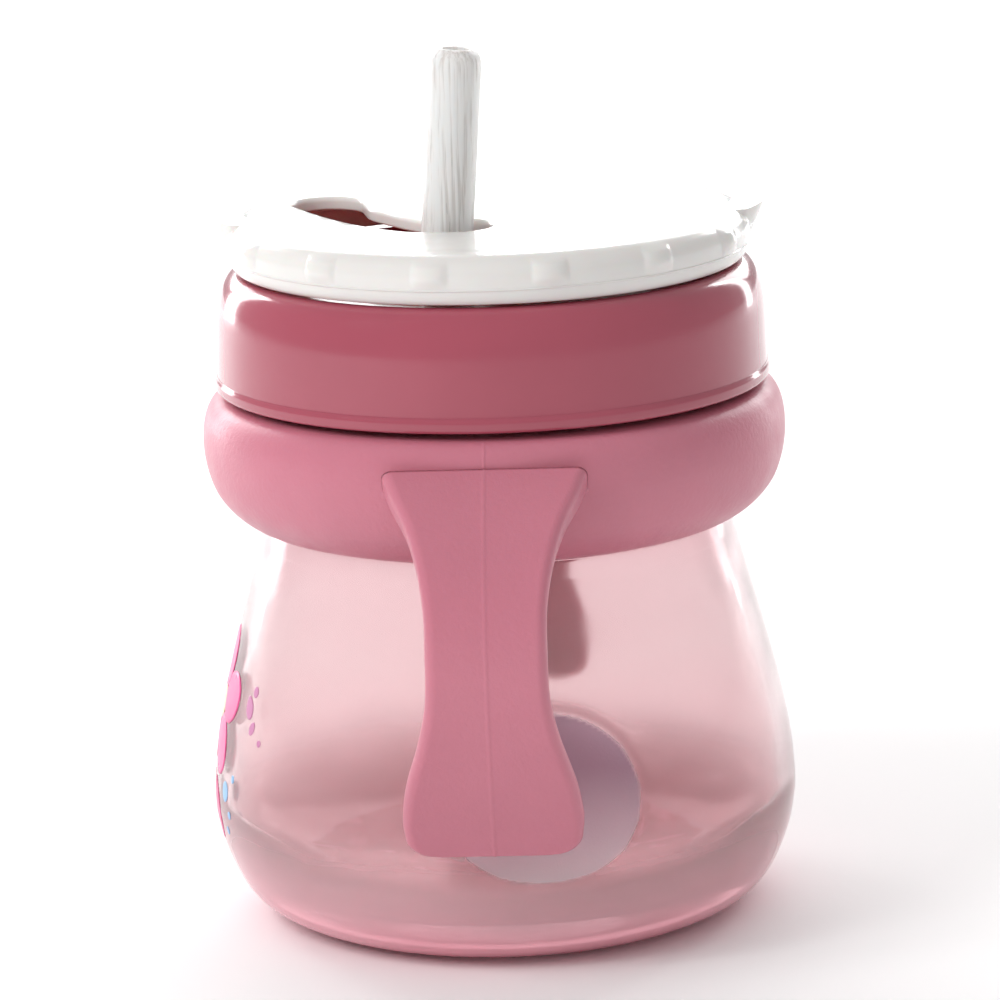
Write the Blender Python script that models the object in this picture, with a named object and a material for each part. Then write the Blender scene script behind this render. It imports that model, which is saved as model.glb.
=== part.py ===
"""Two-handled straw cup with a screw collar and a twist cover that hides the straw.

Units are millimetres here and metres in the scene. +Z is up, the cup stands on z = 0,
and the two handles lie on -Y and +Y.
"""
import math

import bmesh
import bpy
from mathutils import Matrix, Vector

MM = 0.001
SEG = 48                    # facets round the large turned pieces
SMALL_SEG = 24              # facets round the small ones

# Cup
FOOT_R = 29.5
BELLY_R = 42.0
BELLY_Z = 17.5
LEDGE_Z = 57.3              # where the handle ring rests
NECK_R = 31.4
NECK_INNER_R = 29.2
RIM_Z = 86.5
WALL = 2.2
RECESS_TURN = 9.7           # degrees from the handles to the finger recesses
RECESS_Z = 26.0
RECESS_DEPTH = 3.3
RECESS_AXES = (12.0, 38.0, 21.0)    # radial, sideways, up

# Thread between the cup's neck and the collar
PITCH = 4.0
THREAD_TURNS = 1.1
THREAD_Z = 80.3
THREAD_DEPTH = 1.6

# Handle ring
RING_BOTTOM = 57.6
RING_TOP = 75.9
RING_R = 41.5
# distance out, height, half width and thickness along one handle
HANDLE_STATIONS = (
    (40.3, 70.5, 13.9, 5.0), (43.4, 68.3, 12.7, 5.0), (47.2, 65.2, 10.7, 4.5),
    (50.8, 61.2, 9.2, 3.9), (53.6, 56.0, 8.3, 3.6), (54.7, 50.0, 8.2, 3.6),
    (54.3, 43.5, 8.4, 3.6), (52.7, 37.5, 9.6, 3.6), (50.2, 31.0, 11.5, 3.6),
    (47.6, 25.8, 12.3, 3.6), (46.3, 23.2, 12.1, 3.6), (45.5, 21.5, 11.2, 3.5),
    (45.1, 20.2, 9.0, 3.0),
)

# Collar and deck
COLLAR_BOTTOM = 76.7
COLLAR_R = 39.2
SKIRT_INNER_R = 33.3
DECK_BOTTOM = 88.5
DECK_TOP = 90.0
DISH_R = 33.5
DISH_TOP = 93.4
HUB_HOLE_R = 4.3

# Twist cover
COVER_TURN = 2.2            # degrees from the handles to the cover's pointed ears
COVER_BOTTOM = 93.8
COVER_TOP = 100.5
COVER_PLATE = 2.0
COVER_R = 37.0
GRIP_COUNT = 14             # ears and bumps together, evenly spaced
HUB_R = 4.0
SLOT_STATIONS = (           # x, y and half width along the comma-shaped slot
    (-4.2, -10.4, 5.4), (-8.9, -11.1, 3.9), (-14.5, -5.8, 4.2),
    (-18.0, -0.7, 4.3), (-20.9, 3.7, 4.2), (-23.4, 10.9, 5.2),
)

# Straw
STRAW_ROOT = (-5.7, -11.2, 94.0)
STRAW_R = 3.65
STRAW_BORE = 1.9
STRAW_LENGTH = 31.4         # from the fold line to the tip
STRAW_LEAN = 4.6            # degrees towards +X
DIP_R = 2.75
DIP_END = 8.5
VALVE_AT = (13.0, 15.0)


def clear_scene():
    for obj in list(bpy.data.objects):
        bpy.data.objects.remove(obj, do_unlink=True)


def make_collection(name):
    group = bpy.data.collections.new(name)
    bpy.context.scene.collection.children.link(group)
    return group


def make_material(name, color, roughness, alpha=1.0):
    material = bpy.data.materials.new(name)
    material.use_nodes = True
    shader = material.node_tree.nodes["Principled BSDF"]
    shader.inputs["Base Color"].default_value = (*color, 1.0)
    shader.inputs["Roughness"].default_value = roughness
    shader.inputs["Metallic"].default_value = 0.0
    shader.inputs["Alpha"].default_value = alpha
    return material


def finish_mesh(name, bm, group, smooth=True):
    """Turn a closed bmesh in millimetres into an object in metres."""
    bmesh.ops.remove_doubles(bm, verts=bm.verts, dist=1e-4)
    bmesh.ops.recalc_face_normals(bm, faces=bm.faces)
    bmesh.ops.scale(bm, vec=(MM, MM, MM), verts=bm.verts)
    mesh = bpy.data.meshes.new(name)
    bm.to_mesh(mesh)
    bm.free()
    for face in mesh.polygons:
        face.use_smooth = smooth
    obj = bpy.data.objects.new(name, mesh)
    group.objects.link(obj)
    return obj


def turned(name, profile, group, segments=SEG):
    """A closed profile of (radius, height) turned a full circle about Z."""
    bm = bmesh.new()
    rings = []
    for radius, height in profile:
        if radius < 1e-6:
            rings.append([bm.verts.new((0, 0, height))])
            continue
        angles = (2 * math.pi * i / segments for i in range(segments))
        rings.append([bm.verts.new((radius * math.cos(a), radius * math.sin(a), height)) for a in angles])
    for lower, upper in zip(rings, rings[1:] + rings[:1]):
        if len(lower) == len(upper) == 1:
            continue
        for i in range(segments):
            j = (i + 1) % segments
            corners = [lower[i % len(lower)], lower[j % len(lower)],
                       upper[j % len(upper)], upper[i % len(upper)]]
            bm.faces.new(list(dict.fromkeys(corners)))
    return finish_mesh(name, bm, group)


def sections(name, rings, group):
    """A solid through a row of equal rings of points, capped at both ends."""
    bm = bmesh.new()
    loops = [[bm.verts.new(point) for point in ring] for ring in rings]
    count = len(loops[0])
    for first, second in zip(loops, loops[1:]):
        for i in range(count):
            j = (i + 1) % count
            bm.faces.new((first[i], first[j], second[j], second[i]))
    bm.faces.new(loops[0])
    bm.faces.new(loops[-1])
    return finish_mesh(name, bm, group)


def hull(name, points, group):
    bm = bmesh.new()
    for point in points:
        bm.verts.new(point)
    result = bmesh.ops.convex_hull(bm, input=bm.verts)
    spare = [e for e in result["geom_interior"] + result["geom_unused"]
             if isinstance(e, bmesh.types.BMVert)]
    bmesh.ops.delete(bm, geom=list(set(spare)), context="VERTS")
    return finish_mesh(name, bm, group)


def ellipsoid(name, axes, matrix, group, segments=24, rings=14):
    bm = bmesh.new()
    bmesh.ops.create_uvsphere(bm, u_segments=segments, v_segments=rings, radius=1.0)
    shape = matrix @ Matrix.Diagonal((*axes, 1.0))
    bmesh.ops.transform(bm, matrix=shape, verts=bm.verts)
    return finish_mesh(name, bm, group)


def combine(obj, others, operation):
    """Boolean each of the others into obj, then drop the modifiers and the others."""
    for other in others:
        other.hide_render = True
        other.display_type = "WIRE"
        step = obj.modifiers.new(operation.title(), "BOOLEAN")
        step.operation = operation
        step.solver = "EXACT"
        step.object = other
    bpy.context.view_layer.update()
    evaluated = obj.evaluated_get(bpy.context.evaluated_depsgraph_get())
    mesh = bpy.data.meshes.new_from_object(evaluated)
    obj.modifiers.clear()
    obj.data = mesh
    for other in others:
        bpy.data.objects.remove(other, do_unlink=True)
    clean = bmesh.new()
    clean.from_mesh(mesh)
    bmesh.ops.remove_doubles(clean, verts=clean.verts, dist=2e-6)
    bmesh.ops.dissolve_degenerate(clean, edges=clean.edges, dist=1e-6)
    clean.to_mesh(mesh)
    clean.free()
    return obj


def helix_rib(name, root_r, crest_r, start_z, turns, group):
    """A tapered rib that climbs one pitch each turn and fades out at both ends."""
    steps = int(24 * turns)
    sink = math.copysign(0.6, root_r - crest_r)
    rings = []
    for i in range(steps + 1):
        share = i / steps
        fade = min(1.0, 8 * share, 8 * (1 - share))
        angle = 2 * math.pi * turns * share
        centre = start_z + PITCH * turns * share
        crest = root_r + (crest_r - root_r) * max(fade, 0.12)
        shape = ((root_r + sink, -1.0), (crest, -0.5), (crest, 0.5), (root_r + sink, 1.0))
        rings.append([(r * math.cos(angle), r * math.sin(angle), centre + z) for r, z in shape])
    return sections(name, rings, group)


def recess_matrix(turn):
    """Frame of a finger recess: X out of the wall, Z up along it."""
    tilt = math.radians(-10)
    centre_r = BELLY_R - 0.6 + RECESS_AXES[0] - RECESS_DEPTH
    place = Matrix.Rotation(math.radians(turn), 4, "Z") @ Matrix.Translation((centre_r, 0, RECESS_Z))
    return place @ Matrix.Rotation(tilt, 4, "Y")


def recess_solids(grow, group):
    axes = tuple(a + grow for a in RECESS_AXES)
    turns = (90 + RECESS_TURN, 270 + RECESS_TURN)
    return [ellipsoid("recess", axes, recess_matrix(turn), group, 40, 20) for turn in turns]


def build_cup(parts, cutters):
    outer = (
        (0, 2.6), (18, 2.2), (23.5, 0.5), (25.5, 0), (FOOT_R, 0), (33.4, 0.9), (36.3, 2.5), (38.2, 4.5),
        (39.9, 7.6), (41.2, 11.2), (41.9, 15), (BELLY_R, BELLY_Z), (41.7, 21.5), (41.1, 26),
        (39.9, 32), (38.4, 38), (36.8, 44), (35.1, 50), (33.9, 54.8), (33.3, LEDGE_Z), (NECK_R, LEDGE_Z),
        (NECK_R, RIM_Z - 0.5), (NECK_R - 0.5, RIM_Z), (0, RIM_Z),
    )
    inner = (
        (0, 5.6), (22, 5.6), (30, 6.8), (34.8, 9.2), (38.0, 12.6), (39.6, 16.5), (39.6, 19.5),
        (39.0, 25), (37.8, 31), (36.2, 37.4), (34.5, 43.8), (32.9, 49.6), (31.2, 55), (29.8, 59.2),
        (NECK_INNER_R, 63), (NECK_INNER_R, RIM_Z - 0.6), (NECK_INNER_R + 0.6, RIM_Z + 0.2),
        (0, RIM_Z + 0.2),
    )
    cup = turned("cup_body", outer, parts)
    cavity = turned("cavity", inner, cutters)
    combine(cup, recess_solids(0, cutters), "DIFFERENCE")
    combine(cavity, recess_solids(WALL, cutters), "DIFFERENCE")
    combine(cup, [cavity], "DIFFERENCE")
    thread = helix_rib("thread", NECK_R, NECK_R + THREAD_DEPTH, THREAD_Z, THREAD_TURNS, cutters)
    return combine(cup, [thread], "UNION")


def handle_rings(side):
    """Rounded rectangles across the handle, square to its curve."""
    rings = []
    spots = [Vector((out, height)) for out, height, _, _ in HANDLE_STATIONS]
    for i, (_, _, half, thick) in enumerate(HANDLE_STATIONS):
        along = (spots[min(i + 1, len(spots) - 1)] - spots[max(i - 1, 0)]).normalized()
        across = Vector((-along.y, along.x))
        ring = []
        for sx, sy in ((1, 0.45), (0.86, 1), (-0.86, 1), (-1, 0.45),
                       (-1, -0.45), (-0.86, -1), (0.86, -1), (1, -0.45)):
            spot = spots[i] + across * (sy * thick / 2)
            ring.append((side * sx * half, side * spot.x, spot.y))
        rings.append(ring)
    return rings


def build_handle_ring(parts, cutters):
    profile = (
        (33.0, RING_TOP), (37.6, RING_TOP), (39.4, 75.3), (40.5, 74.0), (41.2, 72.0), (RING_R, 69.5),
        (41.4, 67.5), (40.9, 64.8), (39.9, 62.2), (38.2, 60.0), (36.2, 58.4), (34.4, RING_BOTTOM),
        (31.8, RING_BOTTOM), (31.8, 60.4), (34.8, 61.6), (37.4, 64.6), (38.3, 68.5), (38.0, 71.6),
        (36.6, 73.4), (33.0, 73.4),
    )
    ring = turned("handle_ring", profile, parts)
    handles = [sections("handle", handle_rings(side), cutters) for side in (-1, 1)]
    bore = turned("bore", ((0, 50), (36.9, 50), (36.9, 61.5), (37.6, 66),
                           (37.6, 69), (36.9, 73.2), (0, 73.2)), cutters)
    for handle in handles:
        step = handle.modifiers.new("Bore", "BOOLEAN")
        step.operation, step.solver, step.object = "DIFFERENCE", "EXACT", bore
    bpy.context.view_layer.update()
    combine(ring, handles, "UNION")
    bpy.data.objects.remove(bore, do_unlink=True)
    return ring


def build_collar(parts, cutters):
    profile = (
        (HUB_HOLE_R, DECK_TOP), (DISH_R - 0.8, DECK_TOP), (DISH_R, DECK_TOP + 0.8),
        (DISH_R, DISH_TOP - 0.4),
        (DISH_R + 0.4, DISH_TOP), (35.4, DISH_TOP), (36.8, 92.9), (37.9, 91.6), (38.6, 89.8), (38.9, 87.4),
        (COLLAR_R, 84), (COLLAR_R, 78.9), (39.5, 78.2), (39.5, 77.2), (39.1, COLLAR_BOTTOM),
        (37.6, COLLAR_BOTTOM), (37.4, 77.0), (37.2, 86.6), (35.1, 86.6), (35.0, 77.3),
        (SKIRT_INNER_R, 77.3),
        (SKIRT_INNER_R, DECK_BOTTOM), (HUB_HOLE_R, DECK_BOTTOM),
    )
    collar = turned("screw_collar", profile, parts)
    thread = helix_rib("thread", SKIRT_INNER_R, SKIRT_INNER_R - THREAD_DEPTH,
                       THREAD_Z - PITCH / 2, 1.0, cutters)
    combine(collar, [thread], "UNION")
    holes = []
    for (x, y), radius in ((STRAW_ROOT[:2], 4.4), (VALVE_AT, 3.0)):
        shape = ((0, 85), (radius, 85), (radius, 95), (0, 95))
        hole = turned("hole", shape, cutters, SMALL_SEG)
        hole.location = (x * MM, y * MM, 0)
        holes.append(hole)
    return combine(collar, holes, "DIFFERENCE")


def capsule_path(name, stations, low, high, group):
    """A smooth prism around a row of circles of varying size."""
    pieces = []
    for (x0, y0, r0), (x1, y1, r1) in zip(stations, stations[1:]):
        points = []
        for x, y, r in ((x0, y0, r0), (x1, y1, r1)):
            for i in range(20):
                angle = 2 * math.pi * i / 20
                for z in (low, high):
                    points.append((x + r * math.cos(angle), y + r * math.sin(angle), z))
        pieces.append(hull(name, points, group))
    return combine(pieces[0], pieces[1:], "UNION")


def build_cover(parts, cutters):
    under = COVER_TOP - COVER_PLATE
    profile = (
        (0, COVER_TOP), (34.0, COVER_TOP), (35.6, 100.2), (36.6, 99.2), (COVER_R, 97.6), (COVER_R, 96.4),
        (36.7, 95.0), (36.0, COVER_BOTTOM), (34.3, COVER_BOTTOM), (34.5, 97.2), (33.6, under),
        (HUB_R, under), (HUB_R, 88.2), (2.9, 88.2), (2.9, 86.6), (3.7, 86.3), (3.3, 85.6), (0, 85.6),
    )
    cover = turned("twist_cover", profile, parts, 56)
    grips = []
    for i in range(GRIP_COUNT):
        angle = math.radians(COVER_TURN + 360 * i / GRIP_COUNT)
        turn = Matrix.Rotation(angle, 4, "Z")
        if i % (GRIP_COUNT // 2) == 0:
            wedge = ((36.0, 4.6, 100.2), (36.0, -4.6, 100.2), (38.4, 0, 100.2),
                     (36.9, 0, 94.8), (34.8, 0, 98.2))
            grips.append(hull("ear", [turn @ Vector(p) for p in wedge], cutters))
        else:
            place = turn @ Matrix.Translation((36.3, 0, 97.4))
            grips.append(ellipsoid("grip", (1.7, 3.4, 2.6), place, cutters, 10, 6))
    combine(cover, grips, "UNION")
    slot = capsule_path("slot", SLOT_STATIONS, under - 1, COVER_TOP + 1, cutters)
    return combine(cover, [slot], "DIFFERENCE")


def build_gasket(parts):
    profile = ((29.6, 86.8), (32.4, 86.8), (32.7, 87.5), (32.4, 88.2), (29.6, 88.2), (29.3, 87.5))
    return turned("lid_gasket", profile, parts)


def build_retainer(parts):
    profile = ((3.2, 86.9), (5.8, 86.9), (5.8, 87.9), (3.2, 87.9))
    return turned("cover_retainer", profile, parts, SMALL_SEG)


def build_straw_base(parts):
    profile = (
        (STRAW_BORE, 90.05), (4.1, 90.05), (4.1, 88.2), (5.6, 88.0), (5.6, 86.8), (4.2, 86.4),
        (4.2, 80.6), (3.05, 80.6), (3.05, 86.2), (STRAW_BORE, 86.6),
    )
    base = turned("straw_base", profile, parts, SMALL_SEG)
    base.location = (STRAW_ROOT[0] * MM, STRAW_ROOT[1] * MM, 0)
    return base


def build_straw(parts):
    """The spout, upright about its own origin, which lies on the fold line."""
    tip = STRAW_LENGTH
    profile = [(STRAW_BORE, -2.6), (2.9, -2.2)]
    profile += [(3.5, -1.0), (STRAW_R, 0.6), (STRAW_R, tip - 1.7), (3.35, tip - 0.7), (2.6, tip)]
    profile += [(STRAW_BORE + 0.2, tip), (STRAW_BORE, tip - 0.5)]
    straw = turned("straw_spout", profile, parts, SMALL_SEG)
    straw.location = tuple(v * MM for v in STRAW_ROOT)
    straw.rotation_euler = (0, math.radians(STRAW_LEAN), 0)
    return straw


def build_dip_tube(parts):
    bore = DIP_R - 0.9
    profile = ((bore, 85.9), (DIP_R, 85.9), (DIP_R, DIP_END), (bore, DIP_END))
    tube = turned("dip_tube", profile, parts, SMALL_SEG)
    tube.location = (STRAW_ROOT[0] * MM, STRAW_ROOT[1] * MM, 0)
    return tube


def build_valve(parts):
    profile = (
        (0, 91.2), (2.2, 91.2), (3.8, 90.7), (3.8, 90.3), (2.7, 90.3), (2.7, 88.2), (3.9, 88.2),
        (3.9, 87.6), (2.5, 87.0), (1.2, 84.8), (0, 84.6),
    )
    valve = turned("vent_valve", profile, parts, SMALL_SEG)
    valve.location = (VALVE_AT[0] * MM, VALVE_AT[1] * MM, 0)
    return valve


def paint(obj, color, roughness, alpha=1.0):
    obj.data.materials.clear()
    obj.data.materials.append(make_material(obj.name, color, roughness, alpha))


def main():
    clear_scene()
    parts = make_collection("straw_cup")
    cutters = make_collection("cutters")
    paint(build_cup(parts, cutters), (0.80, 0.42, 0.46), 0.18, 0.6)
    paint(build_handle_ring(parts, cutters), (0.78, 0.27, 0.38), 0.38)
    paint(build_collar(parts, cutters), (0.70, 0.18, 0.26), 0.14)
    paint(build_gasket(parts), (0.85, 0.82, 0.80), 0.5)
    paint(build_cover(parts, cutters), (0.90, 0.89, 0.87), 0.16)
    paint(build_retainer(parts), (0.90, 0.89, 0.87), 0.3)
    paint(build_straw_base(parts), (0.80, 0.74, 0.72), 0.4)
    paint(build_straw(parts), (0.80, 0.74, 0.72), 0.4)
    paint(build_dip_tube(parts), (0.85, 0.82, 0.80), 0.3)
    paint(build_valve(parts), (0.85, 0.82, 0.80), 0.5)


main()
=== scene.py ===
"""Two-handled straw cup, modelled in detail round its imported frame."""
import math

import bmesh
import bpy
import numpy as np
from mathutils import Matrix, Vector


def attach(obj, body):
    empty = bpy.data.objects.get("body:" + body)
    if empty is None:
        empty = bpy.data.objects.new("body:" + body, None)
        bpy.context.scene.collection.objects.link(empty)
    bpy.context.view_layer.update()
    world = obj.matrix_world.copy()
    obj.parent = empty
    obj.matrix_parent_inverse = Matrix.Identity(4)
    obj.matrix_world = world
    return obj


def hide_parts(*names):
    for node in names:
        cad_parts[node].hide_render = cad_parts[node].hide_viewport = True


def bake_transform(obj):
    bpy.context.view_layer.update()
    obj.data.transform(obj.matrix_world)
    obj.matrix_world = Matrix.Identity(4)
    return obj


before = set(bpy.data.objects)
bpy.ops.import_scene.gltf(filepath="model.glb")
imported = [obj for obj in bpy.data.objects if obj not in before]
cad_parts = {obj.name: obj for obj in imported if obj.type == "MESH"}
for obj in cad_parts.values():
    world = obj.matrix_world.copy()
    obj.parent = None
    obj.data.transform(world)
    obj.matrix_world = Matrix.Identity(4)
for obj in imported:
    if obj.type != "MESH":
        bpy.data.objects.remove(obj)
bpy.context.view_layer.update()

MM = 0.001
TAU = 2 * math.pi

# Shared sizes, in millimetres and degrees
BELLY_R, LEDGE_Z, NECK_R, RIM_Z = 42.0, 57.3, 31.4, 86.5
FOOT_IN, NECK_INNER = 25.2, 29.2
PITCH, THREAD_Z, THREAD_TURNS, THREAD_DEPTH = 4.0, 80.3, 1.1, 1.6
WALL = 2.2
RECESS_TURNS = (99.7, 279.7)
RECESS_Z, RECESS_DEPTH, RECESS_AXES = 26.0, 3.3, (12.0, 38.0, 21.0)
SKIRT_INNER_R, DECK_BOTTOM, DECK_TOP = 33.3, 88.5, 90.0
COVER_TURN, COVER_TOP, COVER_UNDER = 2.2, 100.5, 98.5
GRIP_COUNT = 14
STRAW_ROOT = Vector((-5.7, -11.2, 94.0))
STRAW_LEAN = math.radians(4.6)
STRAW_R, STRAW_BORE, STRAW_LENGTH, STRAW_SIDES = 3.65, 1.9, 31.4, 72
BEND_REACH = 3.0
VALVE_AT = (13.0, 15.0)

# Camera: millimetres for the lens, radians for the angles, metres for the rest
LENS, SENSOR, SHIFT = 175.6, 36.0, (0.0025, 0.0244)
CAMERA_TURN, CAMERA_RISE, CAMERA_ROLL = math.radians(2.2), 0.2316, 0.0324
CAMERA_AWAY, TARGET_Z = 0.7, 0.055


# ---------------------------------------------------------------- mesh helpers

def spline(points, steps=8):
    """Points on a smooth curve through the given ones."""
    pts = [np.array(p, float) for p in points]
    out = []
    for i in range(len(pts) - 1):
        a, b, c, d = pts[max(i - 1, 0)], pts[i], pts[i + 1], pts[min(i + 2, len(pts) - 1)]
        for t in np.arange(steps) / steps:
            out.append(0.5 * ((2 * b) + (c - a) * t + (2 * a - 5 * b + 4 * c - d) * t * t
                              + (3 * b - a - 3 * c + d) * t ** 3))
    out.append(pts[-1])
    return [tuple(p) for p in out]


def rounded(points, steps=5, closed=True):
    """A profile with filleted corners: each point is (radius, height) or (radius, height, fillet)."""
    out = []
    count = len(points)
    for i, point in enumerate(points):
        here = np.array(point[:2], float)
        fillet = point[2] if len(point) > 2 else 0
        if fillet <= 0 or (not closed and i in (0, count - 1)):
            out.append(tuple(here))
            continue
        before = np.array(points[i - 1][:2], float) - here
        after = np.array(points[(i + 1) % count][:2], float) - here
        reach, leave = np.linalg.norm(before), np.linalg.norm(after)
        start = here + before / reach * min(fillet, reach * 0.49)
        end = here + after / leave * min(fillet, leave * 0.49)
        for t in np.linspace(0, 1, steps + 1):
            out.append(tuple((1 - t) ** 2 * start + 2 * t * (1 - t) * here + t * t * end))
    return out


def angles_with(count, centres=(), reach=0.0, step=0.0):
    """Angles round the circle in degrees, with finer steps within reach of each centre."""
    values = list(np.arange(count) * 360.0 / count)
    for centre in centres:
        values = [v for v in values if abs((v - centre + 180) % 360 - 180) > reach]
        values += list(np.arange(centre - reach, centre + reach + step / 2, step) % 360)
    return np.radians(sorted(set(np.round(values, 4))))


def finish(name, bm):
    """Turn a bmesh into a smooth-shaded object in the scene."""
    bmesh.ops.recalc_face_normals(bm, faces=bm.faces)
    mesh = bpy.data.meshes.new(name)
    bm.to_mesh(mesh)
    bm.free()
    mesh.polygons.foreach_set("use_smooth", [True] * len(mesh.polygons))
    obj = bpy.data.objects.new(name, mesh)
    bpy.context.scene.collection.objects.link(obj)
    return obj


def lathe(name, profile, angles, shape=None, capped=False):
    """Turn a profile in millimetres about Z. shape(r, z, a) may move a point in or out.

    A closed profile gives a ring. A capped one is open and is closed by a flat face at each end.
    """
    bm = bmesh.new()
    rows = []
    for r, z in profile:
        row = []
        for a in angles:
            rr, zz = shape(r, z, a) if shape else (r, z)
            row.append(bm.verts.new((rr * MM * math.cos(a), rr * MM * math.sin(a), zz * MM)))
        rows.append(row)
    pairs = list(zip(rows, rows[1:] if capped else rows[1:] + rows[:1]))
    for low, high in pairs:
        for i in range(len(angles)):
            j = (i + 1) % len(angles)
            bm.faces.new((low[i], low[j], high[j], high[i]))
    if capped:
        bm.faces.new(rows[0])
        bm.faces.new(rows[-1])
    return finish(name, bm)


def loft(name, rings):
    """A closed solid through a row of equal rings of points, in millimetres."""
    bm = bmesh.new()
    rows = [[bm.verts.new(Vector(p) * MM) for p in ring] for ring in rings]
    count = len(rows[0])
    for low, high in zip(rows, rows[1:]):
        for i in range(count):
            j = (i + 1) % count
            bm.faces.new((low[i], low[j], high[j], high[i]))
    bm.faces.new(rows[0])
    bm.faces.new(rows[-1])
    return finish(name, bm)


def apply_boolean(obj, tools, operation):
    """Cut or join the tools into obj for good, remove them and clean the seams."""
    for tool in tools:
        step = obj.modifiers.new(operation.title(), "BOOLEAN")
        step.operation, step.solver, step.object = operation, "EXACT", tool
    bpy.context.view_layer.update()
    evaluated = obj.evaluated_get(bpy.context.evaluated_depsgraph_get())
    mesh = bpy.data.meshes.new_from_object(evaluated)
    obj.modifiers.clear()
    obj.data = mesh
    for tool in tools:
        bpy.data.objects.remove(tool, do_unlink=True)
    bm = bmesh.new()
    bm.from_mesh(mesh)
    bmesh.ops.remove_doubles(bm, verts=bm.verts, dist=2e-6)
    bmesh.ops.dissolve_degenerate(bm, edges=bm.edges, dist=1e-6)
    bm.to_mesh(mesh)
    bm.free()
    mesh.polygons.foreach_set("use_smooth", [True] * len(mesh.polygons))
    return obj


def weigh_normals(obj):
    """Let broad faces keep their own shading beside small fillets."""
    step = obj.modifiers.new("Normals", "WEIGHTED_NORMAL")
    step.mode = "FACE_AREA"
    step.weight = 80
    return obj


def smoothstep(x):
    """0 to 1 with a soft start and end."""
    x = min(max(x, 0.0), 1.0)
    return x * x * (3 - 2 * x)


def near(angle, centre_deg):
    """Signed angle in radians from a centre given in degrees."""
    return (angle - math.radians(centre_deg) + math.pi) % TAU - math.pi


def rib_height(z, angle, start_z, turns):
    """Height of a trapezoid thread rib at this point, from 0 to 1."""
    best = 0.0
    share = (angle % TAU) / TAU
    for k in range(-1, 3):
        along = share + k
        if along < 0 or along > turns:
            continue
        off = abs(z - (start_z + PITCH * along))
        flank = min(max((1.0 - off) / 0.5, 0.0), 1.0)
        fade = min(1.0, along * 8, (turns - along) * 8)
        best = max(best, smoothstep(flank) * smoothstep(fade))
    return best


# ---------------------------------------------------------------- materials

def new_material(name, color, roughness, **sockets):
    """A Principled material; sockets holds further inputs, with _ for each space."""
    material = bpy.data.materials.new(name)
    material.use_nodes = True
    shader = material.node_tree.nodes["Principled BSDF"]
    shader.inputs["Base Color"].default_value = (*color, 1)
    shader.inputs["Roughness"].default_value = roughness
    for key, value in sockets.items():
        shader.inputs[key.replace("_", " ")].default_value = value
    return material, material.node_tree, shader


def add(tree, kind, **settings):
    """A new node; each setting fills the input or the property of that name."""
    node = tree.nodes.new(kind)
    for key, value in settings.items():
        if key in node.inputs:
            node.inputs[key].default_value = value
        else:
            setattr(node, key, value)
    return node


def object_coords(tree, scale=(1, 1, 1)):
    """Object coordinates, scaled to stretch or squeeze a pattern."""
    coords = add(tree, "ShaderNodeTexCoord")
    mapping = add(tree, "ShaderNodeMapping")
    mapping.inputs["Scale"].default_value = scale
    tree.links.new(coords.outputs["Object"], mapping.inputs["Vector"])
    return mapping.outputs["Vector"]


def noise(tree, vector, scale, detail=3.0, rough=0.55):
    """Noise value from 0 to 1."""
    node = add(tree, "ShaderNodeTexNoise")
    node.inputs["Scale"].default_value = scale
    node.inputs["Detail"].default_value = detail
    node.inputs["Roughness"].default_value = rough
    tree.links.new(vector, node.inputs["Vector"])
    return node.outputs["Fac"]


def ramp(tree, value, stops):
    """Colours at the given places along a value."""
    node = add(tree, "ShaderNodeValToRGB")
    elements = node.color_ramp.elements
    while len(elements) < len(stops):
        elements.new(0.5)
    for element, (place, color) in zip(elements, stops):
        element.position = place
        element.color = (*color, 1)
    tree.links.new(value, node.inputs["Fac"])
    return node.outputs["Color"]


def span(tree, value, low, high, to_low, to_high, curve="LINEAR"):
    """Map a value from one range to another."""
    node = add(tree, "ShaderNodeMapRange", interpolation_type=curve)
    numbers = (low, high, to_low, to_high)
    for key, number in zip(("From Min", "From Max", "To Min", "To Max"), numbers):
        node.inputs[key].default_value = number
    tree.links.new(value, node.inputs["Value"])
    return node.outputs["Result"]


def bump(tree, shader, height, distance, after=None):
    """Raise the surface by a height value, on top of the bump given as after."""
    node = add(tree, "ShaderNodeBump", Distance=distance, Strength=1.0)
    tree.links.new(height, node.inputs["Height"])
    if after is not None:
        tree.links.new(after, node.inputs["Normal"])
    tree.links.new(node.outputs["Normal"], shader.inputs["Normal"])
    return node.outputs["Normal"]


def tint(color, factor):
    """The same colour, lighter or darker."""
    return tuple(min(1.0, c * factor) for c in color)


def moulded(name, color, roughness, grain=0.0, grain_scale=1800.0, wave=0.00002, **sockets):
    """Moulded plastic: slight colour drift, uneven gloss, a faint wave and an optional fine grain."""
    material, tree, shader = new_material(name, color, roughness, **sockets)
    place = object_coords(tree)
    drift = noise(tree, place, 38.0, 4.0)
    shade = ramp(tree, drift, ((0.25, tint(color, 0.93)), (0.75, tint(color, 1.05))))
    tree.links.new(shade, shader.inputs["Base Color"])
    gloss = noise(tree, place, 210.0, 5.0)
    gloss = span(tree, gloss, 0.3, 0.7, roughness * 0.85, roughness * 1.2)
    tree.links.new(gloss, shader.inputs["Roughness"])
    normal = bump(tree, shader, noise(tree, place, 55.0, 2.0), wave)
    if grain:
        bump(tree, shader, noise(tree, place, grain_scale, 3.0, 0.6), grain, normal)
    return material


def mixed_colour(tree, factor, start, end):
    """The linked colour start where factor is 0, passing to the linked colour end where it is 1."""
    node = add(tree, "ShaderNodeMix", data_type="RGBA")
    tree.links.new(factor, node.inputs["Factor"])
    start_colour, end_colour, result = node.inputs[6], node.inputs[7], node.outputs[2]
    tree.links.new(start, start_colour)
    tree.links.new(end, end_colour)
    return result


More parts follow.
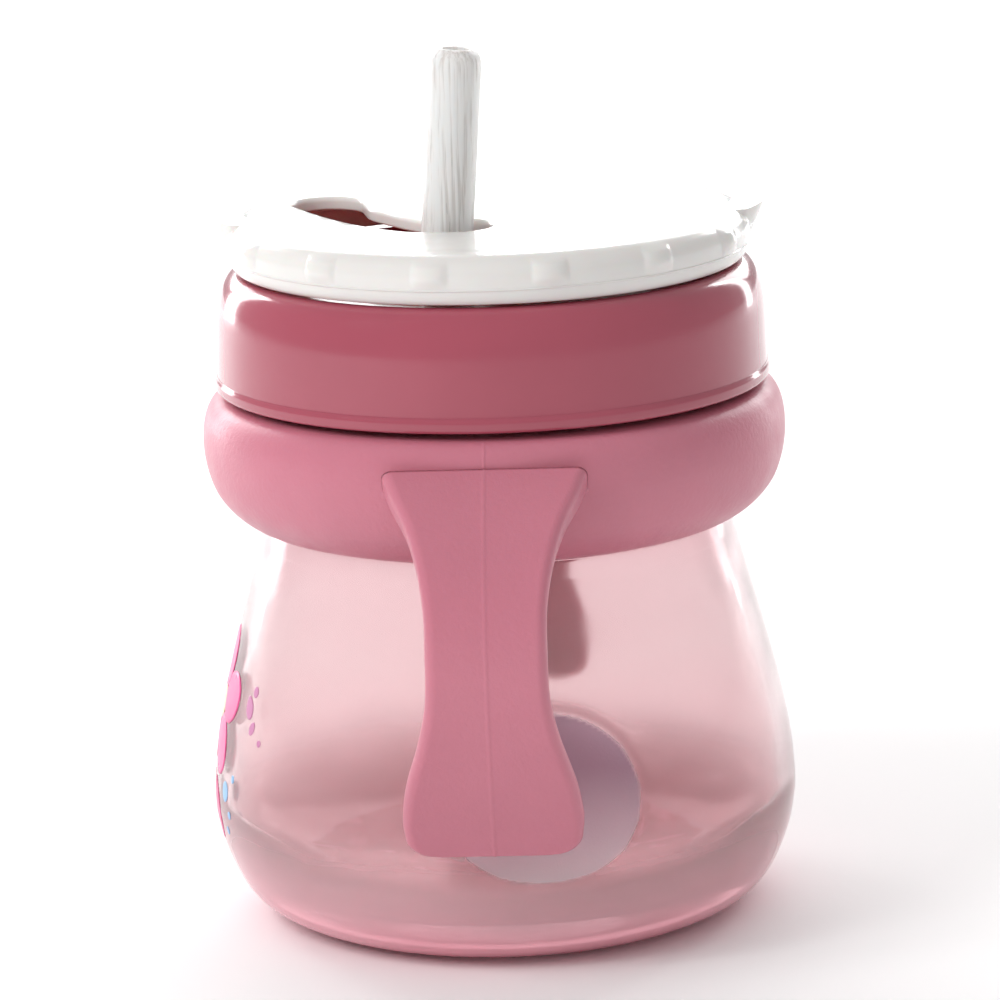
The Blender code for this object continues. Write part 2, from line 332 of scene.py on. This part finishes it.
def mixed_value(tree, factor, start, end):
    """The linked value start where factor is 0, passing to the number end where it is 1."""
    node = add(tree, "ShaderNodeMix", data_type="FLOAT")
    tree.links.new(factor, node.inputs["Factor"])
    start_value, end_value, result = node.inputs[2], node.inputs[3], node.outputs[0]
    tree.links.new(start, start_value)
    end_value.default_value = end
    return result


def clear_pink(name):
    """Tinted see-through plastic, cloudier towards the base, with a frosted surface where grip is 1
    whose colour is painted light and shade: near white low down, dark mauve higher up.
    """
    material, tree, shader = new_material(
        name, (0.9, 0.62, 0.66), 0.1, IOR=1.33, Specular_IOR_Level=0.5)
    place = object_coords(tree)
    split = add(tree, "ShaderNodeSeparateXYZ")
    tree.links.new(place, split.inputs["Vector"])
    wander = add(tree, "ShaderNodeMath", operation="MULTIPLY_ADD")
    tree.links.new(noise(tree, place, 30.0, 3.0), wander.inputs[0])
    wander.inputs[1].default_value = 0.006
    tree.links.new(split.outputs["Z"], wander.inputs[2])
    wandering_z = wander.outputs["Value"]
    height = span(tree, wandering_z, 0.002, 0.075, 0.0, 1.0)
    wall = ramp(tree, height, (
        (0.0, (0.82, 0.27, 0.36)), (0.10, (0.94, 0.52, 0.58)), (0.25, (0.98, 0.78, 0.80)),
        (0.60, (0.97, 0.83, 0.84)), (1.0, (0.94, 0.69, 0.73))))
    # Painted light and shade in the finger recess: near white at its bottom, where it faces up, and
    # dark mauve at its top, where it faces down, as a dimple lit from above.
    recess_painted_shade = ramp(tree, height, (
        (0.18, (1.0, 0.96, 0.97)), (0.29, (0.72, 0.60, 0.67)), (0.42, (0.40, 0.27, 0.36))))
    grip = add(tree, "ShaderNodeAttribute", attribute_name="grip").outputs["Fac"]
    tree.links.new(mixed_colour(tree, grip, wall, recess_painted_shade), shader.inputs["Base Color"])
    clear = span(tree, wandering_z, 0.003, 0.025, 0.18, 0.88, "SMOOTHSTEP")
    tree.links.new(mixed_value(tree, grip, clear, 0.45), shader.inputs["Transmission Weight"])
    smear = span(tree, noise(tree, place, 160.0, 5.0), 0.35, 0.75, 0.07, 0.17)
    tree.links.new(mixed_value(tree, grip, smear, 0.42), shader.inputs["Roughness"])
    normal = bump(tree, shader, noise(tree, place, 45.0, 2.0), 0.00003)
    etched = add(tree, "ShaderNodeMath", operation="MULTIPLY")
    tree.links.new(noise(tree, place, 2600.0, 2.0), etched.inputs[0])
    tree.links.new(grip, etched.inputs[1])
    bump(tree, shader, etched.outputs["Value"], 0.00003, normal)
    return material


def silicone(name, streaks=True):
    """Milky silicone, with fine streaks along Z on a tube."""
    base = (0.86, 0.82, 0.79)
    material, tree, shader = new_material(
        name, base, 0.34, IOR=1.42, Transmission_Weight=0.25,
        Subsurface_Weight=0.3, Subsurface_Scale=0.004)
    shader.inputs["Subsurface Radius"].default_value = (1.0, 0.7, 0.6)
    place = object_coords(tree, (1, 1, 0.035) if streaks else (1, 1, 1))
    lines = noise(tree, place, 1300.0, 3.0, 0.6)
    shade = ramp(tree, lines, (
        (0.40, (0.76, 0.73, 0.71)), (0.5, (0.97, 0.95, 0.93)), (0.58, (1.0, 0.99, 0.98))))
    tree.links.new(shade, shader.inputs["Base Color"])
    tree.links.new(span(tree, lines, 0.3, 0.7, 0.26, 0.44), shader.inputs["Roughness"])
    bump(tree, shader, lines, 0.00012 if streaks else 0.00003)
    return material


def dress(obj, material):
    """Give a piece its material."""
    obj.data.materials.clear()
    obj.data.materials.append(material)


# ---------------------------------------------------------------- the cup

def recess_radius(z, angle, grow, turn):
    """Distance from the axis to a finger recess's surface in this direction, or None if it misses."""
    tilt = math.radians(-10)
    centre_r = BELLY_R - 0.6 + RECESS_AXES[0] - RECESS_DEPTH
    axes = np.array([a + grow for a in RECESS_AXES])
    local = near(angle, turn)
    ray = np.array([math.cos(local), math.sin(local), 0.0])
    start = np.array([-centre_r, 0.0, z - RECESS_Z])
    back = np.array([[math.cos(tilt), 0, -math.sin(tilt)], [0, 1, 0],
                     [math.sin(tilt), 0, math.cos(tilt)]])
    d, o = back @ ray / axes, back @ start / axes
    a, b, c = d @ d, 2 * o @ d, o @ o - 1
    inside = b * b - 4 * a * c
    if inside <= 0:
        return None
    return (-b - math.sqrt(inside)) / (2 * a)


def dent(grow, soft):
    """Moves wall points in to the recess's surface, with a slightly softened edge."""
    def shape(r, z, angle):
        if r < 30 or z > 48:
            return r, z
        for turn in RECESS_TURNS:
            if abs(near(angle, turn)) > math.radians(34):
                continue
            surface = recess_radius(z, angle, grow, turn)
            if surface is None:
                continue
            h = max(soft - abs(r - surface), 0.0) / soft
            r = min(r, surface) - h * h * soft * 0.25
        return r, z
    return shape


def cup_profile():
    """The outer wall from foot to rim, then the inner wall down to the floor, then the underside."""
    outer = [(FOOT_IN, 0.25), (25.8, 0.06), (26.6, 0.0), (28.0, 0.0)]
    outer += spline((
        (29.5, 0.0), (30.6, 0.12), (33.4, 0.9), (36.3, 2.5), (38.3, 4.6), (39.9, 7.6), (41.2, 11.2),
        (41.9, 15), (42.0, 17.5), (41.7, 21.5), (41.1, 26), (39.9, 32), (38.4, 38), (36.8, 44),
        (35.1, 50), (33.9, 54.8)), 12)
    outer += rounded(((33.9, 54.9), (33.25, LEDGE_Z, 0.5), (NECK_R, LEDGE_Z, 0.3), (NECK_R, 78.6)),
                     closed=False)
    outer += [(NECK_R, z) for z in np.arange(78.8, 86.0, 0.2)]
    outer += rounded(((NECK_R, 86.0), (NECK_R, RIM_Z, 0.5), (NECK_INNER, RIM_Z, 0.6), (NECK_INNER, 80)),
                     closed=False)
    inner = spline((
        (NECK_INNER, 63), (29.8, 59.2), (31.2, 55), (32.9, 49.6), (34.5, 43.8), (36.2, 37.4),
        (37.8, 31), (39.0, 25), (39.6, 19.5), (39.6, 16.5), (38.0, 12.6), (34.8, 9.2), (30, 6.8),
        (22, 5.7), (8, 5.6), (1.0, 5.6)), 6)
    under = spline(((1.0, 2.6), (9, 2.55), (17, 2.3), (22, 1.1), (FOOT_IN, 0.25)), 6)
    return outer, inner, under


def build_cup():
    """The cup's shell, open at the top, with its thread and its two finger recesses."""
    outer, inner, under = cup_profile()
    outer_dent, inner_dent = dent(0.0, 0.25), dent(WALL, 1.2)

    def moved(index, r, z, angle):
        if index >= len(outer):
            return inner_dent(r, z, angle)
        r, z = outer_dent(r, z, angle)
        if r > 31 and z > 78.5:
            r += THREAD_DEPTH * rib_height(z, angle, THREAD_Z, THREAD_TURNS)
        return r, z

    angles = angles_with(180, RECESS_TURNS, 27, 0.4)
    bm = bmesh.new()
    rows = []
    for index, (r, z) in enumerate(outer + inner + under):
        row = []
        for a in angles:
            rr, zz = moved(index, r, z, a)
            row.append(bm.verts.new((rr * MM * math.cos(a), rr * MM * math.sin(a), zz * MM)))
        rows.append(row)
    floor_row = len(outer) + len(inner) - 1
    for i, (low, high) in enumerate(zip(rows, rows[1:] + rows[:1])):
        if i == floor_row:
            continue
        for j in range(len(angles)):
            k = (j + 1) % len(angles)
            bm.faces.new((low[j], low[k], high[k], high[j]))
    bm.faces.new(rows[floor_row])
    bm.faces.new(rows[floor_row + 1])
    bmesh.ops.remove_doubles(bm, verts=bm.verts, dist=1e-7)
    cup = finish("cup_shell", bm)
    dress(weigh_normals(cup), clear_pink("cup_plastic"))
    cup.data.materials.append(
        moulded("cup_base_plastic", (0.66, 0.13, 0.20), 0.25, Transmission_Weight=0.15))
    mark_grip(cup, RECESS_TURNS[1])
    for face in cup.data.polygons:
        x, y, z = (v / MM for v in face.center)
        if math.hypot(x, y) < 29 and z < 8:
            face.material_index = 1
    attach(cup, "cup")
    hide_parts("cup_body")


def mark_grip(cup, turn):
    """Write 1 on the vertices inside one finger recess, fading to 0 across its edge."""
    grip = cup.data.attributes.new("grip", "FLOAT", "POINT")
    for vertex, value in zip(cup.data.vertices, grip.data):
        x, y, z = (v / MM for v in vertex.co)
        angle, r = math.atan2(y, x), math.hypot(x, y)
        surface = recess_radius(z, angle, 0, turn) if 4.6 < z < 48 and r > 30 else None
        if surface is not None and abs(near(angle, turn)) < 0.6 and r > surface - 0.4:
            value.value = min(max((wall_radius(z) - r - 0.02) / 0.15, 0.0), 1.0)


# ---------------------------------------------------------------- print on the cup's side

def wall_radius(z):
    """The cup's outer radius at this height, without the recesses."""
    heights = (4.6, 7.6, 11.2, 15, 17.5, 21.5, 26, 32, 38, 44, 50)
    radii = (38.3, 39.9, 41.2, 41.9, 42.0, 41.7, 41.1, 39.9, 38.4, 36.8, 35.1)
    return float(np.interp(z, heights, radii))


def patch(bm, centre_deg, centre_z, half_w, half_h, turn=0.0, point=0.0):
    """A thin printed oval that follows the wall. point pulls one end out to a tip."""
    rings, count, lift = 7, 28, (0.03, 0.10)
    grids = []
    for rise in lift:
        middle = None
        rows = []
        for i in range(rings + 1):
            share = i / rings
            row = []
            for j in range(count):
                a = TAU * j / count
                x, y = half_w * share * math.cos(a), half_h * share * math.sin(a)
                x *= 1 - point * max(0.0, math.sin(a)) ** 2 * 0.75
                x, y = (x * math.cos(turn) - y * math.sin(turn),
                        x * math.sin(turn) + y * math.cos(turn))
                z = centre_z + y
                r = wall_radius(z) + rise
                theta = math.radians(centre_deg) + x / r
                where = (r * MM * math.cos(theta), r * MM * math.sin(theta), z * MM)
                if i == 0:
                    middle = middle or bm.verts.new(where)
                    row.append(middle)
                else:
                    row.append(bm.verts.new(where))
            rows.append(row)
        grids.append(rows)
        for low, high in zip(rows, rows[1:]):
            for j in range(count):
                k = (j + 1) % count
                corners = list(dict.fromkeys((low[j], low[k], high[k], high[j])))
                bm.faces.new(corners)
    bottom, top = grids[0][-1], grids[1][-1]
    for j in range(count):
        k = (j + 1) % count
        bm.faces.new((bottom[j], bottom[k], top[k], top[j]))


def printed(name, color, blobs):
    """All the patches of one ink, as one piece."""
    bm = bmesh.new()
    for blob in blobs:
        patch(bm, *blob)
    obj = finish(name, bm)
    dress(obj, moulded(name + "_ink", color, 0.3, wave=0.00001))
    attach(obj, "cup")


def build_print():
    """A plain flower with two leaves, bubbles and drops, on the cup's -X side."""
    middle, height, petal_out = 186.0, 31.0, 6.6
    petals = []
    for i in range(5):
        a = TAU * i / 5 + math.pi / 2
        across = math.degrees(petal_out * math.cos(a) / 40.2)
        petals.append((middle + across, height + petal_out * math.sin(a), 3.7, 4.5, a - math.pi / 2))
    printed("print_petals", (0.86, 0.10, 0.32), petals)
    printed("print_heart", (0.93, 0.70, 0.47), [(middle, height, 2.4, 2.4)])
    printed("print_leaf", (0.74, 0.08, 0.26), [
        (middle + 5, 16.2, 2.4, 4.6, 0.4, 0.9), (middle - 6, 16.6, 2.2, 4.2, -0.5, 0.9)])
    printed("print_bubbles", (0.25, 0.50, 0.80), [
        (199.0, 20.0, 1.3, 1.5), (202.0, 17.0, 0.6, 0.6), (203.5, 22.6, 0.5, 0.6),
        (200, 14.4, 0.6, 0.6), (172.0, 19.0, 1.3, 1.5), (169.5, 23.6, 0.6, 0.6)])
    printed("print_drops", (0.62, 0.22, 0.42), [
        (207.5, 33.6, 1.1, 1.7, 0.4, 0.6), (210.0, 31.0, 0.7, 1.1, -0.5, 0.6),
        (209.2, 36.0, 0.7, 0.8), (213.6, 29.4, 0.5, 0.5),
        (170.0, 38.0, 0.9, 1.4, -0.4, 0.6), (167.5, 35.5, 0.5, 0.5)])


# ---------------------------------------------------------------- the handle ring

# Distance out, height, half width and thickness along one strap
HANDLE = (
    (40.3, 70.5, 13.9, 5.0), (43.4, 68.3, 12.7, 5.0), (47.2, 65.2, 10.7, 4.5),
    (50.8, 61.2, 9.2, 3.9), (53.6, 56.0, 8.3, 3.6), (54.7, 50.0, 8.2, 3.6),
    (54.3, 43.5, 8.4, 3.6), (52.7, 37.5, 9.6, 3.6), (50.2, 31.0, 11.5, 3.6),
    (47.6, 25.8, 12.3, 3.6), (46.3, 23.0, 12.1, 3.6),
)
CORNER = 2.9
SEAM = 0.10


def handle_section(half, thick, seam):
    """Rounded bar section with a fine raised seam down the middle of each broad face."""
    points = []
    radius = min(thick / 2, 1.5)
    for sx, sy, first in ((1, 1, 0), (-1, 1, 90), (-1, -1, 180), (1, -1, 270)):
        for i in range(7):
            a = math.radians(first + 15 * i)
            points.append((sx * (half - radius) + radius * math.cos(a),
                           sy * (thick / 2 - radius) + radius * math.sin(a)))
        if sx == sy:
            for x in np.linspace(0.8, -0.8, 9) * sx:
                rise = seam * max(0.0, 1 - abs(x) / 0.28)
                points.append((x, sy * (thick / 2 + rise)))
    return points


def handle_rings(side):
    """Rings along one strap, ending in rounded corners and a softly domed foot."""
    path = spline(HANDLE, 6)
    out, height, half, thick = path[-1]
    for t in np.radians(np.arange(8, 89, 8)):
        along, narrow = CORNER * math.sin(t), CORNER * (1 - math.cos(t))
        path.append((out - 0.39 * along, height - 0.92 * along, half - narrow, thick - 0.22 * narrow))
    rings = []
    for i, (out, height, half, thick) in enumerate(path):
        ahead, behind = path[min(i + 1, len(path) - 1)], path[max(i - 1, 0)]
        along = Vector((ahead[0] - behind[0], ahead[1] - behind[1])).normalized()
        across = Vector((-along.y, along.x))
        ring = []
        for x, y in handle_section(half, thick, SEAM):
            ring.append((side * x, side * (out + across.x * y), height + across.y * y))
        rings.append(ring)
    end = rings[-1]
    middle = sum((Vector(p) for p in end), Vector()) / len(end)
    for share, drop in ((0.96, 0.12), (0.90, 0.2), (0.7, 0.27)):
        shift = Vector((0, -side * 0.08 * drop, -drop))
        rings.append([tuple(middle + (Vector(p) - middle) * share + shift) for p in end])
    return rings


def build_ring():
    """The hollow ring with both straps grown into it."""
    outer = spline((
        (33.0, 75.9), (36.0, 75.9), (38.0, 75.8), (39.5, 75.25), (40.6, 73.95), (41.25, 72.0),
        (41.5, 69.5), (41.4, 67.4), (40.9, 64.8), (39.9, 62.2), (38.2, 60.0), (36.2, 58.4),
        (34.4, 57.65), (33.2, 57.6)), 6)
    inner = rounded((
        (33.2, 57.6), (31.8, 57.6, 0.4), (31.8, 60.4, 0.4), (34.8, 61.6, 1.5), (37.4, 64.6, 2),
        (38.3, 68.5, 2), (38.0, 71.6, 1.5), (36.6, 73.4, 1), (33.0, 73.4, 0.4),
        (33.0, 75.9, 0.4)))[1:]
    angles = angles_with(180, (90, 270), 1.6, 0.1)

    def seam(r, z, angle):
        if r > 36 and 58.2 < z < 75.9:
            for centre in (90, 270):
                off = abs(near(angle, centre)) * r
                if off < 0.3:
                    return r + SEAM * (1 - off / 0.3), z
        return r, z

    ring = lathe("handle_ring_body", outer[:-1] + inner, angles, seam)
    handles = [loft("handle", handle_rings(side)) for side in (-1, 1)]
    bore = lathe("bore", [(0.5, 50), (36.9, 50), (36.9, 61.5), (37.6, 66), (37.6, 69), (36.9, 73.2),
                          (0.5, 73.2)], angles_with(96), capped=True)
    for handle in handles:
        step = handle.modifiers.new("Bore", "BOOLEAN")
        step.operation, step.solver, step.object = "DIFFERENCE", "EXACT", bore
    bpy.context.view_layer.update()
    apply_boolean(ring, handles, "UNION")
    bpy.data.objects.remove(bore, do_unlink=True)
    material = moulded("handle_plastic", (0.62, 0.20, 0.27), 0.40, grain=0.00009, grain_scale=1300.0,
                       Coat_Weight=0.15, Coat_Roughness=0.35,
                       Subsurface_Weight=0.08, Subsurface_Scale=0.002)
    dress(weigh_normals(ring), material)
    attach(ring, "handles")
    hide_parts("handle_ring")


# ---------------------------------------------------------------- the collar

def build_collar():
    """The screw collar with its inner thread, its dished deck and the holes for straw and valve."""
    outer = spline(((35.3, 93.4), (36.2, 93.2), (37.1, 92.6), (37.9, 91.5), (38.5, 89.8),
                    (38.85, 87.6), (39.0, 84.5), (39.15, 79.4), (39.2, 78.9)), 6)
    lip = rounded(((39.2, 78.8), (39.5, 78.3, 0.25), (39.5, 77.0, 0.5), (38.9, 76.7, 0.4),
                   (37.6, 76.7, 0.3), (37.4, 77.2, 0.3), (37.2, 86.6, 0.6), (35.1, 86.6, 0.6),
                   (35.0, 77.3, 0.4), (SKIRT_INNER_R, 77.3, 0.3), (SKIRT_INNER_R, 77.6)), closed=False)
    wall = [(SKIRT_INNER_R, z) for z in np.arange(77.8, 84.0, 0.2)]
    top = rounded(((SKIRT_INNER_R, 84.2), (SKIRT_INNER_R, DECK_BOTTOM, 0.6), (4.3, DECK_BOTTOM, 0.15),
                   (4.3, DECK_TOP, 0.2), (33.5, DECK_TOP, 1.0), (33.5, 93.4, 0.5), (35.2, 93.4)),
                  closed=False)

    def thread(r, z, angle):
        if abs(r - SKIRT_INNER_R) < 0.01 and z < 84.1:
            return r - THREAD_DEPTH * rib_height(z, angle, THREAD_Z - PITCH / 2, 1.0), z
        return r, z

    collar = lathe("screw_collar_body", outer + lip + wall + top, angles_with(288), thread)
    holes = []
    for (x, y), radius in (((STRAW_ROOT.x, STRAW_ROOT.y), 4.4), (VALVE_AT, 3.0)):
        hole = lathe("hole", [
            (radius, 86), (radius, DECK_TOP - 0.25), (radius + 0.06, DECK_TOP - 0.1),
            (radius + 0.3, DECK_TOP + 0.05), (radius + 0.3, 95)], angles_with(64), capped=True)
        hole.location = (x * MM, y * MM, 0)
        holes.append(hole)
    apply_boolean(collar, holes, "DIFFERENCE")
    material = moulded("collar_plastic", (0.41, 0.072, 0.112), 0.16, wave=0.00006, Coat_Weight=0.5,
                       Coat_Roughness=0.05, Subsurface_Weight=0.06, Subsurface_Scale=0.002)
    dress(weigh_normals(collar), material)
    collar.data.materials.append(moulded(
        "deck_plastic", (0.92, 0.16, 0.13), 0.3, Subsurface_Weight=0.2, Subsurface_Scale=0.004))
    for face in collar.data.polygons:
        x, y, z = (v / MM for v in face.center)
        if math.hypot(x, y) < 33.4 and z > DECK_BOTTOM + 0.5:
            face.material_index = 1
    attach(collar, "lid")
    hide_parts("screw_collar")


# ---------------------------------------------------------------- the twist cover

# Circles along the comma-shaped opening: x, y and radius
SLOT = ((-4.2, -10.4, 5.3), (-8.9, -10.9, 3.95), (-14.3, -5.8, 4.1), (-17.9, -0.7, 4.2),
        (-20.9, 4.4, 4.2), (-23.4, 11.2, 5.1))
RIM_START_R, EAR_R, GRIP_R = 33.8, 36.5, 37.0
EAR_HALF_WIDTH, GRIP_HALF_WIDTH, GRIP_RISE = 5.0, 2.5, 0.62


def slot_outline(grow):
    """The comma-shaped opening's edge, pushed out by grow."""
    path = spline(SLOT, 8)
    left, right = [], []
    for i, (x, y, w) in enumerate(path):
        ahead, behind = path[min(i + 1, len(path) - 1)], path[max(i - 1, 0)]
        along = np.array([ahead[0] - behind[0], ahead[1] - behind[1]])
        along /= np.linalg.norm(along)
        side = np.array([-along[1], along[0]]) * (w + grow)
        left.append((x + side[0], y + side[1]))
        right.append((x - side[0], y - side[1]))

    def cap(spot, toward, w):
        start = math.atan2(toward[1], toward[0])
        return [(spot[0] + w * math.cos(start - a), spot[1] + w * math.sin(start - a))
                for a in np.linspace(0, math.pi, 17)[1:-1]]

    first, last = path[0], path[-1]
    end_cap = cap(last, np.array(left[-1]) - np.array(last[:2]), last[2] + grow)
    start_cap = cap(first, np.array(right[0]) - np.array(first[:2]), first[2] + grow)
    return left + end_cap + right[::-1] + start_cap


def slot_cutter():
    """The solid that cuts the opening, with a rounded upper edge and a small chamfer below."""
    round_edge = 0.75
    levels = [(round_edge * 1.05, COVER_TOP + 1)]
    for t in np.linspace(0, math.pi / 2, 6):
        levels.append((round_edge * (1 - math.sin(t)) * 1.02,
                       COVER_TOP + 0.02 - round_edge * (1 - math.cos(t))))
    levels += [(0.0, COVER_UNDER + 0.35), (0.12, COVER_UNDER + 0.12),
               (0.4, COVER_UNDER - 0.05), (0.4, COVER_UNDER - 1)]
    return loft("slot", [[(x, y, z) for x, y in slot_outline(grow)] for grow, z in levels])


def rim_shape(r, z, angle):
    """Grip bumps and two pointed ears, raised from the plain rim."""
    if r < RIM_START_R or z < 94.2:
        return r, z
    index = round((math.degrees(angle) - COVER_TURN) / (360 / GRIP_COUNT))
    off = near(angle, COVER_TURN + index * 360 / GRIP_COUNT)
    if index % (GRIP_COUNT // 2) == 0:
        side = abs(off) * EAR_R / EAR_HALF_WIDTH
        if side < 1:
            rise = max(0.0, (z - 94.6) / 5.9)
            reach = 36.4 + 2.9 * rise ** 1.1 * (1 - side ** 1.5)
            lift = 0.9 * (1 - side) ** 1.2 * rise ** 3
            if r > 35.0 or z < 100.2:
                return max(r, reach), z + lift
            return r, z + lift * max(0.0, (r - RIM_START_R) / 1.2)
        return r, z
    across = abs(off) * GRIP_R / GRIP_HALF_WIDTH
    if across < 1 and 95.6 < z:
        body = (1 - across * across) ** 0.7
        fade = smoothstep((z - 95.6) / 2.2) * smoothstep((100.3 - z) / 1.2)
        return r + GRIP_RISE * body * fade, z
    return r, z


def build_cover():
    """The twist cover: a nearly flat top, a rolled rim, and a hub pin with a catch below."""
    rim = spline(((34.0, 100.5), (34.9, 100.42), (35.8, 100.05), (36.5, 99.35), (36.95, 98.4),
                  (37.05, 97.4), (36.98, 96.2)), 7)
    rim += [(36.95, 96.1), (37.03, 96.02), (37.03, 95.9), (36.9, 95.82)]
    rim += spline(((36.86, 95.7), (36.7, 95.0), (36.35, 94.25), (35.9, 93.86), (35.3, 93.8)), 5)
    rim += rounded(((35.0, 93.8), (34.3, 93.8, 0.3), (34.5, 97.2, 0.5), (33.6, COVER_UNDER, 0.6),
                    (4.0, COVER_UNDER, 0.4), (4.0, 88.2, 0.2), (2.9, 88.2), (2.9, 86.6),
                    (3.7, 86.3, 0.2), (3.3, 85.6, 0.3), (1.0, 85.6)), closed=False)
    top = spline(((20.0, 100.42), (28.5, 100.42), (30.6, 100.44), (32.0, 100.48), (33.0, 100.5),
                  (34.0, 100.5)), 4)[:-1]
    angles = angles_with(720)
    cover = lathe("twist_cover_body", top + rim, angles, rim_shape, capped=True)
    apply_boolean(cover, [slot_cutter()], "DIFFERENCE")
    material = moulded("cover_plastic", (0.83, 0.81, 0.785), 0.22, wave=0.00005, Coat_Weight=0.4,
                       Coat_Roughness=0.06, Subsurface_Weight=0.15, Subsurface_Scale=0.003)
    dress(weigh_normals(cover), material)
    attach(cover, "cover")
    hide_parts("twist_cover")


# ---------------------------------------------------------------- the straw

def straw_path(height):
    """Centre of the tube at this height above its root, upright below the fold and leaning above it."""
    bend = min(max((height + 1.5) / 3.0, 0.0), 1.0)
    lean = STRAW_LEAN * smoothstep(bend)
    shift = math.tan(lean) * max(height, 0.0)
    return STRAW_ROOT + Vector((shift, 0, height)), lean


def build_straw():
    """The whole soft straw in one tube, bending where it folds."""
    tip = STRAW_LENGTH * math.cos(STRAW_LEAN)
    outside = rounded(((2.7, -13.4), (4.2, -13.4, 0.5), (4.2, -7.6, 0.3), (5.6, -7.2, 0.4),
                       (5.6, -6.0, 0.4), (4.1, -5.8, 0.3), (4.1, -4.0, 0.4), (STRAW_R, -3.4, 0.4),
                       (STRAW_R, -2.6)), closed=False)[1:]
    outside += [(STRAW_R, h) for h in np.arange(-2.2, 5.0, 0.4)]
    outside += [(STRAW_R, h) for h in np.linspace(5.4, tip - 2.6, 24)]
    outside += spline(((STRAW_R, tip - 2.5), (3.55, tip - 1.5), (3.2, tip - 0.7), (2.7, tip - 0.2),
                       (2.2, tip)), 6)
    inside = rounded(((2.3, tip), (STRAW_BORE, tip - 0.1, 0.1), (STRAW_BORE, tip - 2)),
                     closed=False)[1:]
    inside += [(STRAW_BORE, h) for h in np.arange(tip - 3, -7.4, -1.2)]
    inside += [(STRAW_BORE, -7.6), (3.05, -7.8), (3.05, -13.4)]
    rings = []
    for r, h in outside + inside:
        centre, lean = straw_path(h)
        turn = Matrix.Rotation(lean, 3, "Y")
        rings.append([centre + turn @ Vector((r * math.cos(a), r * math.sin(a), 0))
                      for a in np.arange(STRAW_SIDES) * TAU / STRAW_SIDES])
    bm = bmesh.new()
    rows = [[bm.verts.new(p * MM) for p in ring] for ring in rings]
    for low, high in zip(rows, rows[1:] + rows[:1]):
        for i in range(STRAW_SIDES):
            j = (i + 1) % STRAW_SIDES
            bm.faces.new((low[i], low[j], high[j], high[i]))
    straw = finish("straw_tube", bm)
    dress(straw, silicone("straw_silicone"))
    low = STRAW_ROOT + Vector((0, 0, -BEND_REACH))
    high = STRAW_ROOT + Vector((0, 0, BEND_REACH))
    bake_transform(straw)
    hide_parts("straw_base", "straw_spout")


# ---------------------------------------------------------------- pieces kept from the frame

def dress_kept():
    """New materials for the pieces that stay as they were packed."""
    kept = {
        "lid_gasket": silicone("gasket_silicone", streaks=False),
        "vent_valve": silicone("valve_silicone", streaks=False),
        "dip_tube": silicone("tube_plastic"),
        "cover_retainer": moulded("retainer_plastic", (0.88, 0.87, 0.85), 0.25),
    }
    for name, material in kept.items():
        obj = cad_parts[name]
        obj.data.materials.clear()
        obj.data.materials.append(material)
        obj.data.polygons.foreach_set("use_smooth", [False] * len(obj.data.polygons))


# ---------------------------------------------------------------- studio

def build_stage():
    """A pale floor, flat as far as the camera sees and turned up gently beyond."""
    near_end, far_end, curve, sink = -3.0, 2.4, 0.8, 0.00005
    bm = bmesh.new()
    line = [(near_end, 0.0), (far_end, 0.0)]
    line += [(far_end + curve * math.sin(a), curve - curve * math.cos(a))
             for a in np.linspace(0.1, 1.3, 12)]
    rows = [[bm.verts.new((x, y, z - sink)) for x in (-3.0, 3.0)] for y, z in line]
    for low, high in zip(rows, rows[1:]):
        bm.faces.new((low[0], low[1], high[1], high[0]))
    floor = finish("studio_floor", bm)
    material, tree, shader = new_material("paper_sweep", (0.95, 0.95, 0.95), 0.75)
    bump(tree, shader, noise(tree, object_coords(tree), 900.0, 2.0), 0.00002)
    floor.data.materials.append(material)


def add_area(name, spot, target, size, power):
    """A rectangular light at spot that faces target."""
    light = bpy.data.lights.new(name, "AREA")
    light.shape = "RECTANGLE"
    light.size, light.size_y = size
    light.energy = power
    obj = bpy.data.objects.new(name, light)
    bpy.context.scene.collection.objects.link(obj)
    obj.location = spot
    obj.rotation_euler = (Vector(target) - Vector(spot)).to_track_quat("-Z", "Y").to_euler()
    return obj


def build_lights():
    """A soft key from the front left, two strips for the edges, a light on the floor behind."""
    centre = (0, 0, 0.06)
    key = add_area("key", (-0.70, -0.50, 0.75), centre, (0.4, 0.6), 6.0)
    key.visible_glossy = False
    add_area("strip_left", (-0.62, 0.66, 0.25), centre, (0.22, 0.8), 3.4)
    add_area("strip_right", (0.60, 0.68, 0.25), centre, (0.12, 0.8), 1.6)
    add_area("back", (0.0, 1.5, 0.7), (0, 1.0, 0.0), (2.4, 1.0), 26.0)
    world = bpy.data.worlds.new("studio_air")
    world.use_nodes = True
    air = world.node_tree.nodes["Background"]
    air.inputs["Color"].default_value = (1.0, 1.0, 1.0, 1.0)
    air.inputs["Strength"].default_value = 0.5
    bpy.context.scene.world = world


def build_camera():
    """The camera, a little above and to the right of the front handle."""
    data = bpy.data.cameras.new("camera")
    data.lens = LENS
    data.sensor_width = SENSOR
    data.shift_x, data.shift_y = SHIFT
    data.clip_start, data.clip_end = 0.05, 20
    camera = bpy.data.objects.new("camera", data)
    bpy.context.scene.collection.objects.link(camera)
    away = Vector((0, -math.cos(CAMERA_RISE), math.sin(CAMERA_RISE))) * CAMERA_AWAY
    away.rotate(Matrix.Rotation(CAMERA_TURN, 3, "Z"))
    camera.location = Vector((0, 0, TARGET_Z)) + away
    look = (-away).to_track_quat("-Z", "Y").to_matrix()
    camera.rotation_euler = (look @ Matrix.Rotation(-CAMERA_ROLL, 3, "Z")).to_euler()
    bpy.context.scene.camera = camera


build_cup()
build_print()
build_ring()
build_collar()
build_cover()
build_straw()
dress_kept()
build_stage()
build_lights()
build_camera()
bpy.context.scene.view_settings.view_transform = "Standard"
